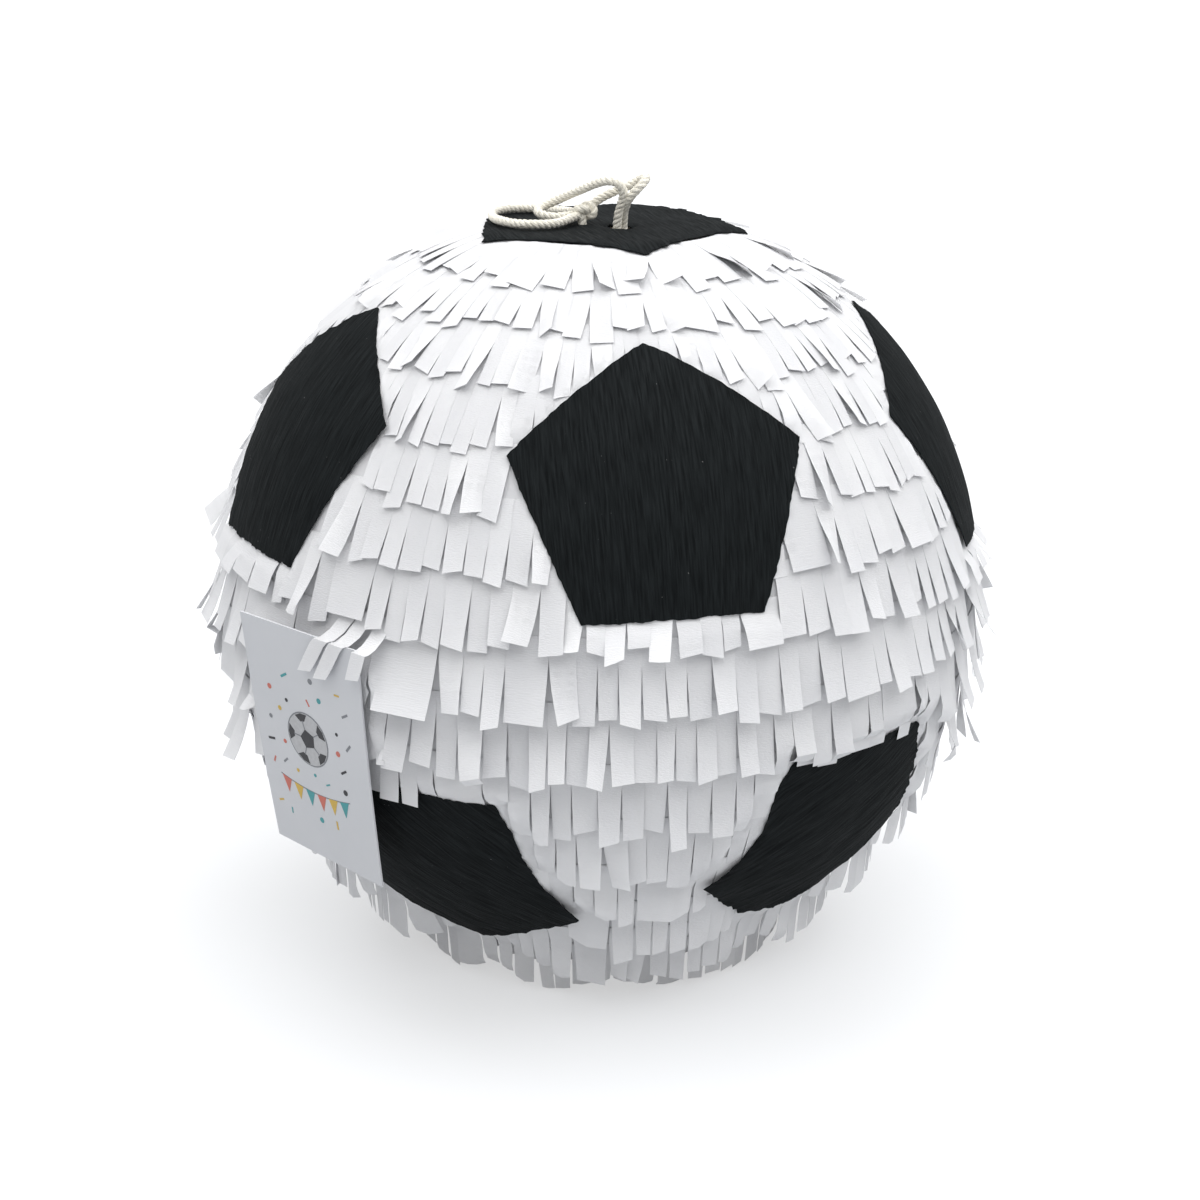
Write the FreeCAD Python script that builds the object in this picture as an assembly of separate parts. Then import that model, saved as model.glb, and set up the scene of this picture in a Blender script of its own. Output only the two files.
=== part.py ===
import FreeCAD, Part
import math
import os
from FreeCAD import Rotation, Vector

# A round party pinata in the pattern of a football. A hollow papier-mache ball is covered in rows
# of cut tissue fringe and twelve black crepe pentagons. One pentagon is a filler door at the back.
# A hanging cord comes out of a hole in the flattened crown, and a card tag hangs on the left.
# Millimetres. +Z is up, the front faces -Y, and the origin is on the floor under the ball's centre.

# The ball
panelRadius = 130.0        # outside of the crepe pentagons, from the ball's centre
panelThickness = 1.6       # crepe with its glued backing
shellWall = 4.0
baseFlatRadius = 28.0      # the ball has settled on a small flat
crownFlatRadius = 40.6     # and is pressed flat around its hanging hole
seamTapeHeight = 30.0
seamTapeThickness = 1.0

# The pentagons: angular radius of the template, and how far each was glued off its true place
panelAngle = 21.5
ringLatitude = math.degrees(math.atan(0.5))
upperOffsets = [(2.5, 0.6, -2.0), (2.1, 1.7, 2.2), (1.0, 0.5, 1.5), (-0.8, -1.0, -1.0), (3.3, 0.2, -0.5)]
lowerOffsets = [(-1.7, -3.9, 0.5), (-2.0, 1.2, -1.5), (-3.5, 0.0, 2.0), (-1.2, 1.4, -2.0), (-7.4, -1.5, 2.8)]
crownTurn = -6.9
baseTurn = -4.0

# The fringe
fringeRows = 16
fringeTopLatitude = 72.0
fringeGlueThickness = 0.8
fringeFlare = 5.0          # how far a row's free edge stands off where it lies on the ball
fringeHangLimit = 8.0      # and the most it stands off where it hangs clear of the ball
fringeFloorGap = 0.5

# The filler door, in the rear right pentagon of the upper ring
doorIndex = 2
doorGap = 0.6
doorTabWidth = 12.0
doorTabReach = 9.0
doorTabThickness = 0.8
doorTabDrop = 14.0         # from the pentagon's top corner

# The hanging gear
holeRadius = 7.0
holeX = 4.2
holeY = -6.9
patchRadius = 33.0
patchThickness = 3.0
stickRadius = 3.0
stickLength = 60.0
hangerTravel = 12.0
hangerStopGap = 0.3        # left between the stick and the patch at the top of the travel
cordDiameter = 3.0
cordPairSpacing = 3.5
cordPairAngle = 47.0       # turn of the line between the two strands, from +X
cordPairDepth = 8.0        # the two legs part this far above the stick
arcShare = 0.45            # of the shorter run, for the arcs of a cord's route
knotRadius = 3.4
knotLength = 5.0
knotPoint = (-7.0, -2.6, 3.8)
knotTurn = 12.0

# The card tag
tagWidth = 53.0
tagHeight = 82.5
tagThickness = 0.6
tagAzimuth = -52.3
tagLean = 9.0              # its foot is nearer the ball
tagSpin = 1.5
tagTopHeight = 12.0        # its top edge, above the ball's centre
tagStandOff = 2.0          # between the crepe surface and the tag's back
tagGap = 0.5
tagSweepRoom = 60.0

# Free cord, as (x, y, height over the crown) from exit to knot
strandPoints = [(5.4, -5.6, 0.0), (5.3, -6.8, 3.6), (5.4, -9.0, 6.8), (6.2, -11.4, 9.6),
                (8.0, -12.9, 12.1), (10.5, -13.1, 14.6), (12.2, -10.7, 16.2), (12.2, -7.3, 16.2),
                (10.5, -4.9, 14.6), (7.6, -4.2, 12.9), (4.2, -3.0, 11.3), (0.6, -1.7, 9.5),
                (-2.8, -1.0, 7.5), (-6.6, -2.0, 4.7)]
bridgePoints = [(3.0, -8.2, 0.0), (3.2, -8.9, 3.9), (3.9, -10.0, 7.5), (4.6, -11.2, 10.8),
                (3.9, -12.1, 13.6), (1.6, -11.9, 15.4), (-1.4, -10.2, 15.4), (-4.8, -7.0, 13.8),
                (-8.6, -3.0, 11.4), (-12.6, 1.3, 8.8), (-16.4, 4.5, 6.5), (-20.1, 4.8, 4.9),
                (-22.2, 2.7, 4.2), (-22.2, -0.3, 3.4), (-20.1, -2.4, 2.8), (-16.6, -2.8, 2.4),
                (-12.6, -2.5, 2.7), (-8.6, -2.3, 3.4)]
loopPoints = [(-8.4, -1.4, 3.6), (-10.6, 4.4, 3.0), (-12.6, 11.0, 2.4), (-16.2, 17.0, 1.9),
              (-21.8, 21.0, 1.9), (-28.2, 21.0, 1.9), (-33.4, 17.4, 1.9), (-36.0, 12.0, 1.9),
              (-37.2, 5.0, 1.9), (-36.6, -2.2, 1.9), (-33.8, -8.6, 1.9), (-28.9, -12.9, 1.9),
              (-22.8, -14.0, 1.9), (-17.2, -11.8, 1.9), (-13.0, -7.2, 2.4), (-8.6, -3.4, 3.4)]

# Sizes that follow from those above
shellRadius = panelRadius - panelThickness
cavityRadius = shellRadius - shellWall
centreHeight = math.sqrt(panelRadius ** 2 - baseFlatRadius ** 2)
crownRise = math.sqrt(panelRadius ** 2 - crownFlatRadius ** 2)
crownHeight = centreHeight + crownRise
patchTop = crownHeight - panelThickness - shellWall
patchUnderside = patchTop - patchThickness
stickHeight = patchUnderside - hangerTravel - hangerStopGap - stickRadius
bendRadius = stickRadius + cordDiameter / 2
bigSize = 4 * panelRadius
centre = Vector(0, 0, centreHeight)
up = Vector(0, 0, 1)


# Unit vector from the ball's centre, where azimuth 0 is the front.
def outward(latitude, azimuth):
    lat = math.radians(latitude)
    az = math.radians(azimuth)
    return Vector(math.sin(az) * math.cos(lat), -math.cos(az) * math.cos(lat), math.sin(lat))


# Name, outward direction and turn of each pentagon's first corner from straight up.
def panelPlaces():
    upperNames = ["panel_front", "panel_right", "panel_door", "panel_rear_left", "panel_left"]
    lowerNames = ["panel_low_right", "panel_low_rear_right", "panel_low_rear", "panel_low_rear_left",
                  "panel_low_left"]
    places = []
    for index, (rise, shift, spin) in enumerate(upperOffsets):
        places.append((upperNames[index], ringLatitude + rise, 72.0 * index + shift, spin))
    for index, (rise, shift, spin) in enumerate(lowerOffsets):
        places.append((lowerNames[index], -ringLatitude + rise, 36.0 + 72.0 * index + shift, 180.0 + spin))
    places.append(("panel_crown", 90.0, 0.0, 180.0 + crownTurn))
    places.append(("panel_base", -90.0, 0.0, baseTurn))
    return places


# Outward, upward and sideways unit vectors of a pentagon after its turn.
def panelFrame(latitude, azimuth, spin):
    normal = outward(latitude, azimuth)
    climb = outward(latitude + 90.0, azimuth)
    turn = Rotation(normal, -spin)
    climb = turn.multVec(climb)
    return normal, climb, climb.cross(normal)


# Five-sided pyramid from the ball's centre; grow moves its sides out by that much.
def pyramid(latitude, azimuth, spin, grow=0.0):
    normal, climb, side = panelFrame(latitude, azimuth, spin)
    apothemAngle = math.atan(math.tan(math.radians(panelAngle)) * math.cos(math.radians(36.0)))
    tip = centre - normal * (grow / math.sin(apothemAngle))
    spread = bigSize * math.tan(math.radians(panelAngle))
    corners = []
    for index in range(5):
        turn = math.radians(72.0 * index)
        across = climb * math.cos(turn) + side * math.sin(turn)
        corners.append(tip + normal * bigSize + across * spread)
    faces = [Part.Face(Part.makePolygon(corners + corners[:1]))]
    for index in range(5):
        faces.append(Part.Face(Part.makePolygon([tip, corners[index], corners[(index + 1) % 5], tip])))
    solid = Part.makeSolid(Part.makeShell(faces))
    if solid.Volume < 0:
        solid.reverse()
    return solid


# The ball's outer shape at this radius, with its flats moved by the same amount.
def ball(radius):
    inset = panelRadius - radius
    low = inset
    high = crownHeight - inset
    slab = Part.makeBox(bigSize, bigSize, high - low, Vector(-bigSize / 2, -bigSize / 2, low))
    return Part.makeSphere(radius, centre).common(slab)


# A plain upright cylinder between two heights
def upright(radius, low, high, x=0.0, y=0.0):
    return Part.makeCylinder(radius, high - low, Vector(x, y, low))


# The wall in two moulded halves, with the door hole and the hanging hole in the upper one
def makeShell(outerBall, cavity, doorHole, crownHole):
    wall = outerBall.cut(cavity)
    box = Part.makeBox(bigSize, bigSize, bigSize, Vector(-bigSize / 2, -bigSize / 2, centreHeight))
    upper = wall.common(box).cut(doorHole).cut(crownHole)
    lower = wall.cut(box)
    return upper, lower


# A paper band inside the ball, over the joint of the two halves
def makeSeamTape():
    half = seamTapeHeight / 2
    ring = upright(bigSize / 4, centreHeight - half, centreHeight + half)
    layer = ball(cavityRadius).cut(ball(cavityRadius - seamTapeThickness))
    return layer.common(ring)


# A skirt that is glued along its top edge and stands off the ball along its free edge.
def makeFringeRow(index, cuts):
    step = 2 * fringeTopLatitude / fringeRows
    top = fringeTopLatitude - step * index
    bottom = top - step
    glue = shellRadius + fringeGlueThickness
    topCos = math.cos(math.radians(top))
    hang = glue * topCos / math.cos(math.radians(bottom)) - shellRadius
    flare = min(max(hang, fringeFlare), fringeHangLimit)

    def point(radius, latitude):
        lat = math.radians(latitude)
        return Vector(radius * math.cos(lat), 0, centreHeight + radius * math.sin(lat))

    innerTop = point(shellRadius, top)
    innerBottom = point(shellRadius, bottom)
    edges = [
        Part.LineSegment(innerTop, point(glue, top)).toShape(),
        Part.LineSegment(point(glue, top), point(shellRadius + flare, bottom)).toShape(),
        Part.LineSegment(point(shellRadius + flare, bottom), innerBottom).toShape(),
        Part.Arc(innerBottom, point(shellRadius, (top + bottom) / 2), innerTop).toShape(),
    ]
    skirt = Part.Face(Part.Wire(edges)).revolve(Vector(0, 0, 0), up, 360)
    return skirt.cut(cuts)


# A small card tab that stands out of the door, near its top corner.
def makeDoorTab(place):
    normal, climb, side = panelFrame(*place[1:])
    reach = math.radians(panelAngle) - doorTabDrop / panelRadius
    tabNormal = normal * math.cos(reach) + climb * math.sin(reach)
    tabClimb = climb * math.cos(reach) - normal * math.sin(reach)
    tab = Part.makeBox(doorTabWidth, doorTabThickness, doorTabReach + panelThickness,
                       Vector(-doorTabWidth / 2, -doorTabThickness / 2, 0))
    tabTurn = Rotation(side, tabClimb, tabNormal, "ZXY")
    tab.Placement = FreeCAD.Placement(centre + tabNormal * shellRadius, tabTurn)
    return tab


# Frame at the middle of the tag's top edge on its back: x across, y out, z up the card.
def tagPlacement():
    turn = Rotation(up, tagAzimuth)
    lean = Rotation(Vector(1, 0, 0), tagLean)
    flat = Rotation(Vector(0, 1, 0), tagSpin)
    toOutside = Rotation(up, 180)
    rotation = turn.multiply(lean).multiply(flat).multiply(toOutside)
    backDistance = panelRadius + tagStandOff
    leanAngle = math.radians(tagLean)
    reach = (backDistance + tagTopHeight * math.sin(leanAngle)) / math.cos(leanAngle)
    return FreeCAD.Placement(centre + outward(0, tagAzimuth) * reach + up * tagTopHeight, rotation)


# The card tag, glued under the fringe along its top edge
def makeTag():
    card = Part.makeBox(tagWidth, tagThickness, tagHeight, Vector(-tagWidth / 2, 0, -tagHeight))
    card.Placement = tagPlacement()
    return card


# Space in front of the tag's back that the fringe leaves free.
def makeTagRoom():
    room = Part.makeBox(tagWidth + 2 * tagGap, tagSweepRoom, tagHeight + 2 * tagGap,
                        Vector(-tagWidth / 2 - tagGap, -tagGap, -tagHeight - tagGap))
    room.Placement = tagPlacement()
    return room


# Straight runs joined by tangent arcs, each as large as its two runs allow
def routeEdges(points, radii):
    runs = [points[i + 1] - points[i] for i in range(len(points) - 1)]
    edges = []
    start = points[0]
    for i in range(1, len(points) - 1):
        before = Vector(runs[i - 1]).normalize()
        after = Vector(runs[i]).normalize()
        turn = before.getAngle(after)
        reach = arcShare * min(runs[i - 1].Length, runs[i].Length)
        radius = reach / math.tan(turn / 2)
        arcStart = points[i] - before * reach
        arcEnd = points[i] + after * reach
        toMiddle = (after - before).normalize()
        middle = points[i] + toMiddle * (radius * (1 / math.cos(turn / 2) - 1))
        edges.append(Part.LineSegment(start, arcStart).toShape())
        edges.append(Part.Arc(arcStart, middle, arcEnd).toShape())
        radii.append(radius)
        start = arcEnd
    edges.append(Part.LineSegment(start, points[-1]).toShape())
    return edges


def sweepCord(wire, start, direction, radii, name):
    circle = Part.makeCircle(cordDiameter / 2, start, direction)
    tube = wire.makePipeShell([Part.Wire(circle)], True, True)
    section = math.pi * cordDiameter ** 2 / 4
    print(name, "length %.1f" % wire.Length, "radii", " ".join("%.1f" % radius for radius in radii),
          "volume over section times length %.4f" % (tube.Volume / (section * wire.Length)))
    return tube


def cordTube(points, name):
    radii = []
    wire = Part.Wire(routeEdges(points, radii))
    return sweepCord(wire, points[0], points[1] - points[0], radii, name)


def overCrown(points):
    return [Vector(x, y, crownHeight + height) for x, y, height in points]


# The cord inside the ball: down one leg, tight round the stick and up the other leg
def makeInnerCord():
    across = Vector(math.cos(math.radians(cordPairAngle)), math.sin(math.radians(cordPairAngle)), 0)
    axis = Vector(holeX, holeY, stickHeight)
    near = cordPairSpacing / 2
    reach = math.hypot(near, cordPairDepth)
    touchAngle = math.atan2(cordPairDepth, near) - math.acos(bendRadius / reach)

    def leg(sign):
        rim = axis + across * (sign * near) + up * (crownHeight - stickHeight)
        parting = axis + across * (sign * near) + up * cordPairDepth
        aside = across * (sign * math.cos(touchAngle)) + up * math.sin(touchAngle)
        touch = axis + aside * bendRadius
        return [rim, parting, touch]

    radii = []
    first = leg(1)
    second = leg(-1)
    edges = routeEdges(first, radii)
    edges.append(Part.Arc(first[-1], axis - up * bendRadius, second[-1]).toShape())
    radii.append(bendRadius)
    edges.extend(routeEdges(second[::-1], radii))
    return sweepCord(Part.Wire(edges), first[0], first[1] - first[0], radii, "inner_cord")


# The toggle that the cord pulls up against the patch, square to the cord's two legs
def makeStick():
    along = Rotation(up, cordPairAngle + 90.0).multVec(Vector(1, 0, 0))
    start = Vector(holeX, holeY, stickHeight) - along * (stickLength / 2)
    return Part.makeCylinder(stickRadius, stickLength, start, along)


# The knot that ties both strands and the loop, as one rounded solid
def makeKnot():
    along = Rotation(up, knotTurn).multVec(Vector(1, 0, 0))
    middle = overCrown([knotPoint])[0]
    start = middle - along * (knotLength / 2)
    body = Part.makeCylinder(knotRadius, knotLength, start, along)
    for end in (start, start + along * knotLength):
        body = body.fuse(Part.makeSphere(knotRadius, end))
    return body.removeSplitter()


def makeNodes():
    nodes = {}
    outerBall = ball(shellRadius)
    cavity = ball(cavityRadius)
    skin = ball(panelRadius).cut(outerBall)
    crownHole = upright(holeRadius, patchUnderside - 1, crownHeight + 1, holeX, holeY)
    places = panelPlaces()
    doorPlace = places[doorIndex]
    doorHole = pyramid(*doorPlace[1:], grow=doorGap)
    upper, lower = makeShell(outerBall, cavity, doorHole, crownHole)
    nodes["shell_upper"] = upper
    nodes["shell_lower"] = lower
    nodes["seam_tape"] = makeSeamTape()

    for place in places:
        nodes[place[0]] = skin.common(pyramid(*place[1:]))
    nodes["panel_crown"] = nodes["panel_crown"].cut(crownHole)
    nodes["door_leaf"] = outerBall.cut(cavity).common(pyramid(*doorPlace[1:]))
    nodes["door_tab"] = makeDoorTab(doorPlace)
    nodes["panel_door"] = nodes["panel_door"].cut(nodes["door_tab"])

    cuts = [pyramid(*place[1:]) for place in places if place is not doorPlace]
    cuts.append(doorHole)
    cuts.append(makeTagRoom())
    underFloor = Vector(-bigSize / 2, -bigSize / 2, fringeFloorGap - bigSize)
    cuts.append(Part.makeBox(bigSize, bigSize, bigSize, underFloor))
    for index in range(fringeRows):
        nodes["fringe_row_%02d" % (index + 1)] = makeFringeRow(index, cuts)

    patch = upright(patchRadius, patchUnderside, patchTop)
    nodes["crown_patch"] = patch.cut(crownHole)
    nodes["hanging_stick"] = makeStick()
    nodes["inner_cord"] = makeInnerCord()
    nodes["cord_strand"] = cordTube(overCrown(strandPoints), "cord_strand")
    nodes["cord_bridge"] = cordTube(overCrown(bridgePoints), "cord_bridge")
    nodes["cord_loop"] = cordTube(overCrown(loopPoints), "cord_loop")
    nodes["cord_knot"] = makeKnot()
    nodes["tag_card"] = makeTag()
    return nodes


os.makedirs("parts", exist_ok=True)
for name, shape in makeNodes().items():
    solids = shape.Solids
    if not solids or not shape.isValid():
        raise RuntimeError("bad solid: " + name)
    body = solids[0] if len(solids) == 1 else Part.makeCompound(solids)
    body.exportStep("parts/" + name + ".step")
    print(name, len(solids), "solids, volume %.0f" % body.Volume)
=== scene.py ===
import math
import random
import bpy
from mathutils import Matrix, Quaternion, Vector, noise


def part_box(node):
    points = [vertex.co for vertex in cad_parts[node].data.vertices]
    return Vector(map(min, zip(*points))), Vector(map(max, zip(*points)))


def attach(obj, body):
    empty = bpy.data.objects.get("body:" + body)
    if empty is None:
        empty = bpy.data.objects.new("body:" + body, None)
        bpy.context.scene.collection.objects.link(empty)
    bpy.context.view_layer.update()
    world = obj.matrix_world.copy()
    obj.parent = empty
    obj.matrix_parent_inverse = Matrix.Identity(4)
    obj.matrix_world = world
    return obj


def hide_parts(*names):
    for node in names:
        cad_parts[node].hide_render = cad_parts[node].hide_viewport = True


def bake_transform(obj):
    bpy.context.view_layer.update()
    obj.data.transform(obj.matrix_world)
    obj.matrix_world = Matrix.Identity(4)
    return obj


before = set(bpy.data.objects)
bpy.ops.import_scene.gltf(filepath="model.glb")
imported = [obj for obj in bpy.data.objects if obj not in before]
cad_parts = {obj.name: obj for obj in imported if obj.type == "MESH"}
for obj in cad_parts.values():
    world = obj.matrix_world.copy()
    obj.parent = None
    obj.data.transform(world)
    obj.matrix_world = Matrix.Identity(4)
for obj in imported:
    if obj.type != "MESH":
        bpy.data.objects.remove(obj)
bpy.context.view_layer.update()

# A round party pinata: hollow papier-mache ball, sixteen rows of cut tissue fringe, twelve black crepe
# pentagons, a twisted cotton hanging cord, a filler door at the back and a card tag. Metres, floor at 0.

mm = 0.001
up = Vector((0, 0, 1))
sharpAngle = 42.0          # edges sharper than this stay crisp, in degrees

# The ball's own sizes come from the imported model.
shellLow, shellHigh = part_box("shell_lower")
shellRadius = (shellHigh.x - shellLow.x) / 2
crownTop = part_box("panel_crown")[1].z
centre = Vector((0, 0, shellHigh.z))
panelThickness = 1.6 * mm
panelRadius = shellRadius + panelThickness
crownRise = crownTop - centre.z
print("ball: shell radius %.4f, centre %.4f, crown %.4f" % (shellRadius, centre.z, crownTop))

cameraSetup = {
    "azimuth": -9.0,
    "elevation": 17.3,
    "distance": 0.867,
    "lens": 74.7,
    "shiftX": 0.0,
    "shiftY": -0.02,
    "roll": 0.7,
    "sensor": 36.0,
}


# Unit vector from the ball's centre, where azimuth 0 is the front.
def outward(latitude, azimuth):
    lat = math.radians(latitude)
    az = math.radians(azimuth)
    return Vector((math.sin(az) * math.cos(lat), -math.cos(az) * math.cos(lat), math.sin(lat)))


def addObject(name, data):
    added = bpy.data.objects.new(name, data)
    bpy.context.collection.objects.link(added)
    return added


def makeCamera():
    data = bpy.data.cameras.new("Camera")
    data.lens = cameraSetup["lens"]
    data.sensor_width = cameraSetup["sensor"]
    data.shift_x = cameraSetup["shiftX"]
    data.shift_y = cameraSetup["shiftY"]
    data.clip_start = 0.02
    data.clip_end = 50.0
    camera = addObject("Camera", data)
    back = outward(cameraSetup["elevation"], cameraSetup["azimuth"])
    aim = (-back).to_track_quat("-Z", "Y")
    camera.location = centre + back * cameraSetup["distance"]
    camera.rotation_mode = "QUATERNION"
    camera.rotation_quaternion = aim @ Quaternion((0, 0, 1), math.radians(cameraSetup["roll"]))
    bpy.context.scene.camera = camera


makeCamera()
print("camera placed")


# A mesh object with its material that rides on a body
def addMesh(name, points, faces, material, body, smooth=True):
    data = bpy.data.meshes.new(name)
    data.from_pydata([tuple(p) for p in points], [], faces)
    data.validate(clean_customdata=False)
    if smooth:
        data.shade_smooth()
        data.set_sharp_from_angle(angle=math.radians(sharpAngle))
    piece = addObject(name, data)
    data.materials.append(material)
    if body:
        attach(piece, body)
    return piece


def addPointValues(piece, name, values):
    layer = piece.data.attributes.new(name, "FLOAT", "POINT")
    layer.data.foreach_set("value", values)


def addFlatMap(piece, name, pairs):
    layer = piece.data.uv_layers.new(name=name)
    for loop in piece.data.loops:
        layer.data[loop.index].uv = pairs[loop.vertex_index]


# Faces of a closed thin sheet: a grid of points, the same again for its other side, and the rim between
def sheetFaces(first, width, height):
    count = width * height
    last = (height - 1) * width
    faces = []
    for j in range(height - 1):
        for i in range(width - 1):
            a = first + j * width + i
            quad = (a, a + 1, a + 1 + width, a + width)
            faces.append(quad)
            faces.append(tuple(count + q for q in reversed(quad)))
    rim = list(range(width - 1))
    rim += [width - 1 + j * width for j in range(height - 1)]
    rim += [last + width - 1 - i for i in range(width - 1)]
    rim += [last - j * width for j in range(height - 1)]
    for k in range(len(rim)):
        a = first + rim[k]
        b = first + rim[(k + 1) % len(rim)]
        faces.append((b, a, count + a, count + b))
    return faces


def smoothStep(low, high, value):
    share = min(1.0, max(0.0, (value - low) / (high - low)))
    return share * share * (3 - 2 * share)


def newMaterial(name):
    material = bpy.data.materials.new(name)
    material.use_nodes = True
    shader = material.node_tree.nodes["Principled BSDF"]
    return material, material.node_tree, shader


def place(tree, kind, settings=None, links=None):
    node = tree.nodes.new(kind)
    for key, value in (settings or {}).items():
        if key in node.inputs:
            node.inputs[key].default_value = value
        else:
            setattr(node, key, value)
    for key, source in (links or {}).items():
        tree.links.new(source, node.inputs[key])
    return node


def setShader(shader, values):
    for key, value in values.items():
        shader.inputs[key].default_value = value


def mathNode(tree, operation, first, second):
    node = tree.nodes.new("ShaderNodeMath")
    node.operation = operation
    for socket, value in zip(node.inputs, (first, second)):
        if isinstance(value, (int, float)):
            socket.default_value = value
        else:
            tree.links.new(value, socket)
    return node.outputs[0]


# Two colours mixed by a share; each of the three may be a value or another node's socket
def mixColours(tree, share, first, second, blend="MIX"):
    mix = place(tree, "ShaderNodeMix", {"data_type": "RGBA", "blend_type": blend})
    for index, value in ((0, share), (6, first), (7, second)):
        if isinstance(value, bpy.types.NodeSocket):
            tree.links.new(value, mix.inputs[index])
        else:
            mix.inputs[index].default_value = value
    return mix.outputs[2]


# Roughness that runs between two values with a mask
def setRoughness(tree, shader, mask, low, high):
    rough = place(tree, "ShaderNodeMapRange", {"To Min": low, "To Max": high}, {"Value": mask})
    tree.links.new(rough.outputs["Result"], shader.inputs["Roughness"])


def groupSockets(tree, ins, outs):
    for name, kind, value in ins:
        socket = tree.interface.new_socket(name=name, in_out="INPUT", socket_type=kind)
        if value is not None:
            socket.default_value = value
    for name, kind in outs:
        tree.interface.new_socket(name=name, in_out="OUTPUT", socket_type=kind)
    return tree.nodes.new("NodeGroupInput"), tree.nodes.new("NodeGroupOutput")


# Soft cloudy mottling: a colour that drifts between two tones, and a mask.
def buildMottle():
    tree = bpy.data.node_groups.new("paperMottle", "ShaderNodeTree")
    gin, gout = groupSockets(
        tree,
        [("Vector", "NodeSocketVector", None), ("Scale", "NodeSocketFloat", 40.0),
         ("Light", "NodeSocketColor", (0.9, 0.9, 0.9, 1)), ("Dark", "NodeSocketColor", (0.7, 0.7, 0.7, 1)),
         ("Low", "NodeSocketFloat", 0.35), ("High", "NodeSocketFloat", 0.65)],
        [("Color", "NodeSocketColor"), ("Mask", "NodeSocketFloat")])
    cloud = place(tree, "ShaderNodeTexNoise", {"Detail": 4.0, "Roughness": 0.6},
                  {"Vector": gin.outputs["Vector"], "Scale": gin.outputs["Scale"]})
    spread = place(tree, "ShaderNodeMapRange", {"clamp": True},
                   {"Value": cloud.outputs["Fac"], "From Min": gin.outputs["Low"],
                    "From Max": gin.outputs["High"]})
    tone = mixColours(tree, spread.outputs["Result"], gin.outputs["Dark"], gin.outputs["Light"])
    tree.links.new(tone, gout.inputs["Color"])
    tree.links.new(spread.outputs["Result"], gout.inputs["Mask"])
    return tree


# Short soft paper fibres as a height.
def buildFibre():
    tree = bpy.data.node_groups.new("paperFibre", "ShaderNodeTree")
    gin, gout = groupSockets(
        tree,
        [("Vector", "NodeSocketVector", None), ("Scale", "NodeSocketFloat", 900.0)],
        [("Height", "NodeSocketFloat")])
    fine = place(tree, "ShaderNodeTexNoise", {"Detail": 3.0, "Roughness": 0.7, "Distortion": 1.5},
                 {"Vector": gin.outputs["Vector"], "Scale": gin.outputs["Scale"]})
    tree.links.new(fine.outputs["Fac"], gout.inputs["Height"])
    return tree


# Stretched crepe grain: close ridges along the second map direction, with a drifting spacing.
def buildCrepeGrain():
    tree = bpy.data.node_groups.new("crepeGrain", "ShaderNodeTree")
    gin, gout = groupSockets(
        tree,
        [("Map", "NodeSocketVector", None), ("Across", "NodeSocketFloat", 110.0),
         ("Along", "NodeSocketFloat", 9.0)],
        [("Height", "NodeSocketFloat"), ("Mask", "NodeSocketFloat")])
    joined = place(tree, "ShaderNodeCombineXYZ", {"Z": 0.0})
    parts = place(tree, "ShaderNodeSeparateXYZ", None, {"Vector": gin.outputs["Map"]})
    tree.links.new(mathNode(tree, "MULTIPLY", parts.outputs["X"], gin.outputs["Across"]), joined.inputs["X"])
    tree.links.new(mathNode(tree, "MULTIPLY", parts.outputs["Y"], gin.outputs["Along"]), joined.inputs["Y"])
    ridges = place(tree, "ShaderNodeTexNoise",
                   {"Scale": 1.0, "Detail": 3.0, "Roughness": 0.55, "Distortion": 0.25},
                   {"Vector": joined.outputs["Vector"]})
    spread = place(tree, "ShaderNodeMapRange", {"clamp": True, "From Min": 0.34, "From Max": 0.66},
                   {"Value": ridges.outputs["Fac"]})
    tree.links.new(ridges.outputs["Fac"], gout.inputs["Height"])
    tree.links.new(spread.outputs["Result"], gout.inputs["Mask"])
    return tree


mottleGroup = buildMottle()
fibreGroup = buildFibre()
crepeGroup = buildCrepeGrain()


def useGroup(tree, group, values=None, links=None):
    node = tree.nodes.new("ShaderNodeGroup")
    node.node_tree = group
    for key, value in (values or {}).items():
        node.inputs[key].default_value = value
    for key, source in (links or {}).items():
        tree.links.new(source, node.inputs[key])
    return node


def addBump(tree, shader, height, strength, distance, under=None):
    bump = place(tree, "ShaderNodeBump", {"Strength": strength, "Distance": distance})
    tree.links.new(height, bump.inputs["Height"])
    if under is not None:
        tree.links.new(under, bump.inputs["Normal"])
    if shader is not None:
        tree.links.new(bump.outputs["Normal"], shader.inputs["Normal"])
    return bump.outputs["Normal"]


tissueFinish = {
    "light": (0.80, 0.802, 0.813, 1),
    "dark": (0.665, 0.668, 0.684, 1),
    "roughness": 0.72,
    "glow": 0.25,              # light that passes through the thin paper
    "depth": 1.5 * mm,
    "gloss": 0.25,
    "crease": 0.35,
}


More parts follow.
